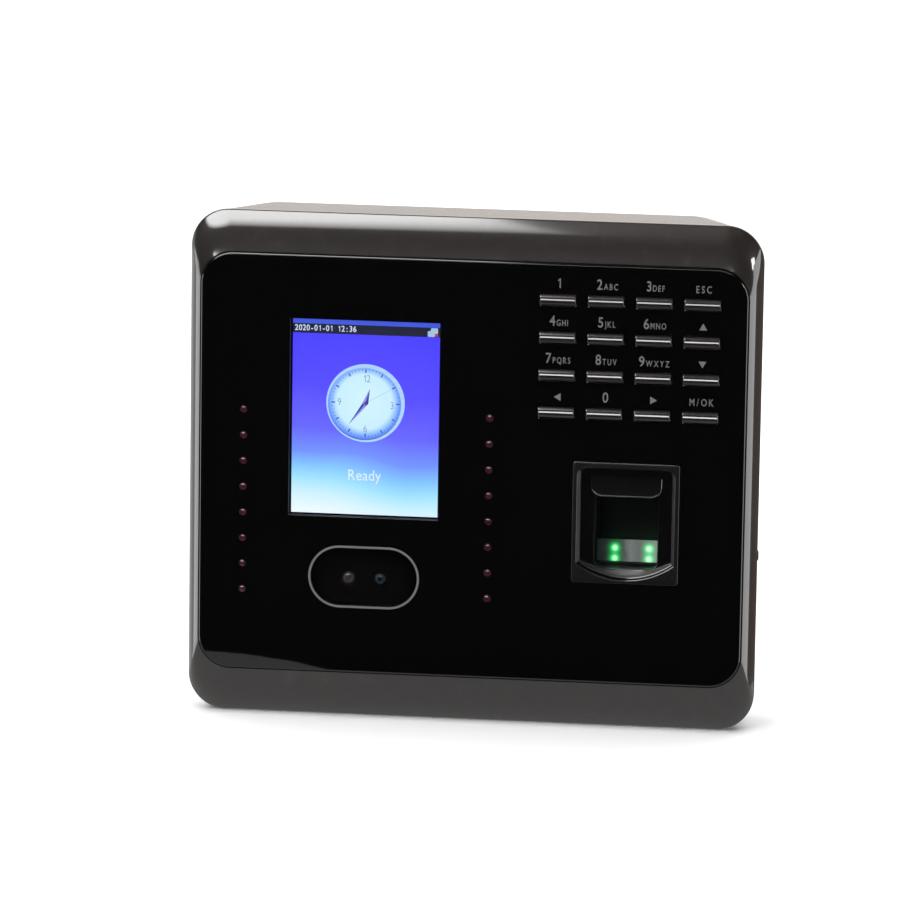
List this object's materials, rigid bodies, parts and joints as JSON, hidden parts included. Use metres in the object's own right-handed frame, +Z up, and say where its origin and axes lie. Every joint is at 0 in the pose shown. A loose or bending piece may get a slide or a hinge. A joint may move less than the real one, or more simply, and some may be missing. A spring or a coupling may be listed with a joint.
{
  "type": "fingerprint scanner terminal",
  "caption": "Wall-mounted face and fingerprint access terminal with display, cameras, infrared lamps, keypad, finger recess and a hook-on wall plate.",
  "frame": {"origin": "on the wall, at the back face of the wall plate, behind the middle of the bezel", "axes": "+X to the viewer's right, +Y into the wall, +Z up; the panel faces -Y"},
  "size_m": [0.1676, 0.0333, 0.1496],
  "materials": {
    "steel": "zinc-plated, matt",
    "housing": "fine-textured dark grey moulding",
    "bezel": "gunmetal metallic lacquer, high gloss",
    "panel": "piano black, polished",
    "tape": "foam",
    "clear": "clear, polished",
    "display": "lit picture",
    "tray": "pressed sheet",
    "tinted": "smoked, polished",
    "board": "solder mask",
    "lens": "black barrel with coated glass",
    "lamp": "dark infrared epoxy",
    "key": "smoked chrome lacquer",
    "silicone": "moulded silicone",
    "reader": "black, polished",
    "sensor": "dark coated glass",
    "diffuser": "milky",
    "led": "lit green",
    "black_plastic": "moulded",
    "chip": "moulded epoxy",
    "cell": "stainless",
    "white_plastic": "moulded nylon",
    "metal": "tinned steel",
    "rubber": "soft, matt",
    "green_plastic": "moulded nylon",
    "ribbon": "flat cable",
    "screw": "black zinc"
  },
  "bodies": {
    "wall_plate": {"wall_plate": "steel"},
    "terminal": {"rear_housing": "housing", "front_bezel": "bezel", "front_panel": "panel", "panel_tape": "tape", "display_window": "clear", "display_glass": "display", "display_frame": "tray", "camera_window": "tinted", "camera_board": "board", "camera_lens_color": "lens", "camera_lens_infrared": "lens", "lamp_board_left": "board", "lamp_board_right": "board", "lamps_left": "lamp", "lamps_right": "lamp", "keypad_mat": "silicone", "keypad_board": "board", "fingerprint_frame": "reader", "fingerprint_window": "sensor", "fingerprint_diffuser": "diffuser", "fingerprint_leds": "led", "fingerprint_case": "black_plastic", "fingerprint_board": "board", "main_board": "board", "main_chips": "chip", "coin_cell": "cell", "speaker": "black_plastic", "tamper_switch": "black_plastic", "usb_socket": "metal", "network_socket": "white_plastic", "terminal_blocks": "green_plastic", "ribbon_cables": "ribbon", "case_screws": "screw", "board_screws": "screw", "security_screw": "screw"},
    "key_1": {"key_1": "key"},
    "key_2": {"key_2": "key"},
    "key_3": {"key_3": "key"},
    "key_esc": {"key_esc": "key"},
    "key_4": {"key_4": "key"},
    "key_5": {"key_5": "key"},
    "key_6": {"key_6": "key"},
    "key_up": {"key_up": "key"},
    "key_7": {"key_7": "key"},
    "key_8": {"key_8": "key"},
    "key_9": {"key_9": "key"},
    "key_down": {"key_down": "key"},
    "key_left": {"key_left": "key"},
    "key_0": {"key_0": "key"},
    "key_right": {"key_right": "key"},
    "key_menu": {"key_menu": "key"},
    "tamper_plunger": {"tamper_plunger": "white_plastic"},
    "usb_cover": {"usb_cover": "rubber"}
  },
  "joints": [
    {"name": "lift_off", "type": "slide", "parent": "wall_plate", "child": "terminal", "axis": [0, 0, 1], "range_m": [0, 0.006]},
    {"name": "key_1_press", "type": "slide", "parent": "terminal", "child": "key_1", "axis": [0, 1, 0], "range_m": [0, 0.001], "stiffness_N_per_m": 600, "springref_m": -0.0005},
    {"name": "key_2_press", "type": "slide", "parent": "terminal", "child": "key_2", "axis": [0, 1, 0], "range_m": [0, 0.001], "stiffness_N_per_m": 600, "springref_m": -0.0005},
    {"name": "key_3_press", "type": "slide", "parent": "terminal", "child": "key_3", "axis": [0, 1, 0], "range_m": [0, 0.001], "stiffness_N_per_m": 600, "springref_m": -0.0005},
    {"name": "key_esc_press", "type": "slide", "parent": "terminal", "child": "key_esc", "axis": [0, 1, 0], "range_m": [0, 0.001], "stiffness_N_per_m": 600, "springref_m": -0.0005},
    {"name": "key_4_press", "type": "slide", "parent": "terminal", "child": "key_4", "axis": [0, 1, 0], "range_m": [0, 0.001], "stiffness_N_per_m": 600, "springref_m": -0.0005},
    {"name": "key_5_press", "type": "slide", "parent": "terminal", "child": "key_5", "axis": [0, 1, 0], "range_m": [0, 0.001], "stiffness_N_per_m": 600, "springref_m": -0.0005},
    {"name": "key_6_press", "type": "slide", "parent": "terminal", "child": "key_6", "axis": [0, 1, 0], "range_m": [0, 0.001], "stiffness_N_per_m": 600, "springref_m": -0.0005},
    {"name": "key_up_press", "type": "slide", "parent": "terminal", "child": "key_up", "axis": [0, 1, 0], "range_m": [0, 0.001], "stiffness_N_per_m": 600, "springref_m": -0.0005},
    {"name": "key_7_press", "type": "slide", "parent": "terminal", "child": "key_7", "axis": [0, 1, 0], "range_m": [0, 0.001], "stiffness_N_per_m": 600, "springref_m": -0.0005},
    {"name": "key_8_press", "type": "slide", "parent": "terminal", "child": "key_8", "axis": [0, 1, 0], "range_m": [0, 0.001], "stiffness_N_per_m": 600, "springref_m": -0.0005},
    {"name": "key_9_press", "type": "slide", "parent": "terminal", "child": "key_9", "axis": [0, 1, 0], "range_m": [0, 0.001], "stiffness_N_per_m": 600, "springref_m": -0.0005},
    {"name": "key_down_press", "type": "slide", "parent": "terminal", "child": "key_down", "axis": [0, 1, 0], "range_m": [0, 0.001], "stiffness_N_per_m": 600, "springref_m": -0.0005},
    {"name": "key_left_press", "type": "slide", "parent": "terminal", "child": "key_left", "axis": [0, 1, 0], "range_m": [0, 0.001], "stiffness_N_per_m": 600, "springref_m": -0.0005},
    {"name": "key_0_press", "type": "slide", "parent": "terminal", "child": "key_0", "axis": [0, 1, 0], "range_m": [0, 0.001], "stiffness_N_per_m": 600, "springref_m": -0.0005},
    {"name": "key_right_press", "type": "slide", "parent": "terminal", "child": "key_right", "axis": [0, 1, 0], "range_m": [0, 0.001], "stiffness_N_per_m": 600, "springref_m": -0.0005},
    {"name": "key_menu_press", "type": "slide", "parent": "terminal", "child": "key_menu", "axis": [0, 1, 0], "range_m": [0, 0.001], "stiffness_N_per_m": 600, "springref_m": -0.0005},
    {"name": "tamper_press", "type": "slide", "parent": "terminal", "child": "tamper_plunger", "axis": [0, -1, 0], "range_m": [0, 0.0015], "stiffness_N_per_m": 300, "springref_m": -0.001},
    {"name": "usb_cover_open", "type": "hinge", "parent": "terminal", "child": "usb_cover", "pos_m": [0.0808, -0.01489, -0.032], "axis": [-0.2034, 0.9791, 0], "range_deg": [0, 90], "stiffness_Nm_per_rad": 0.002}
  ]
}
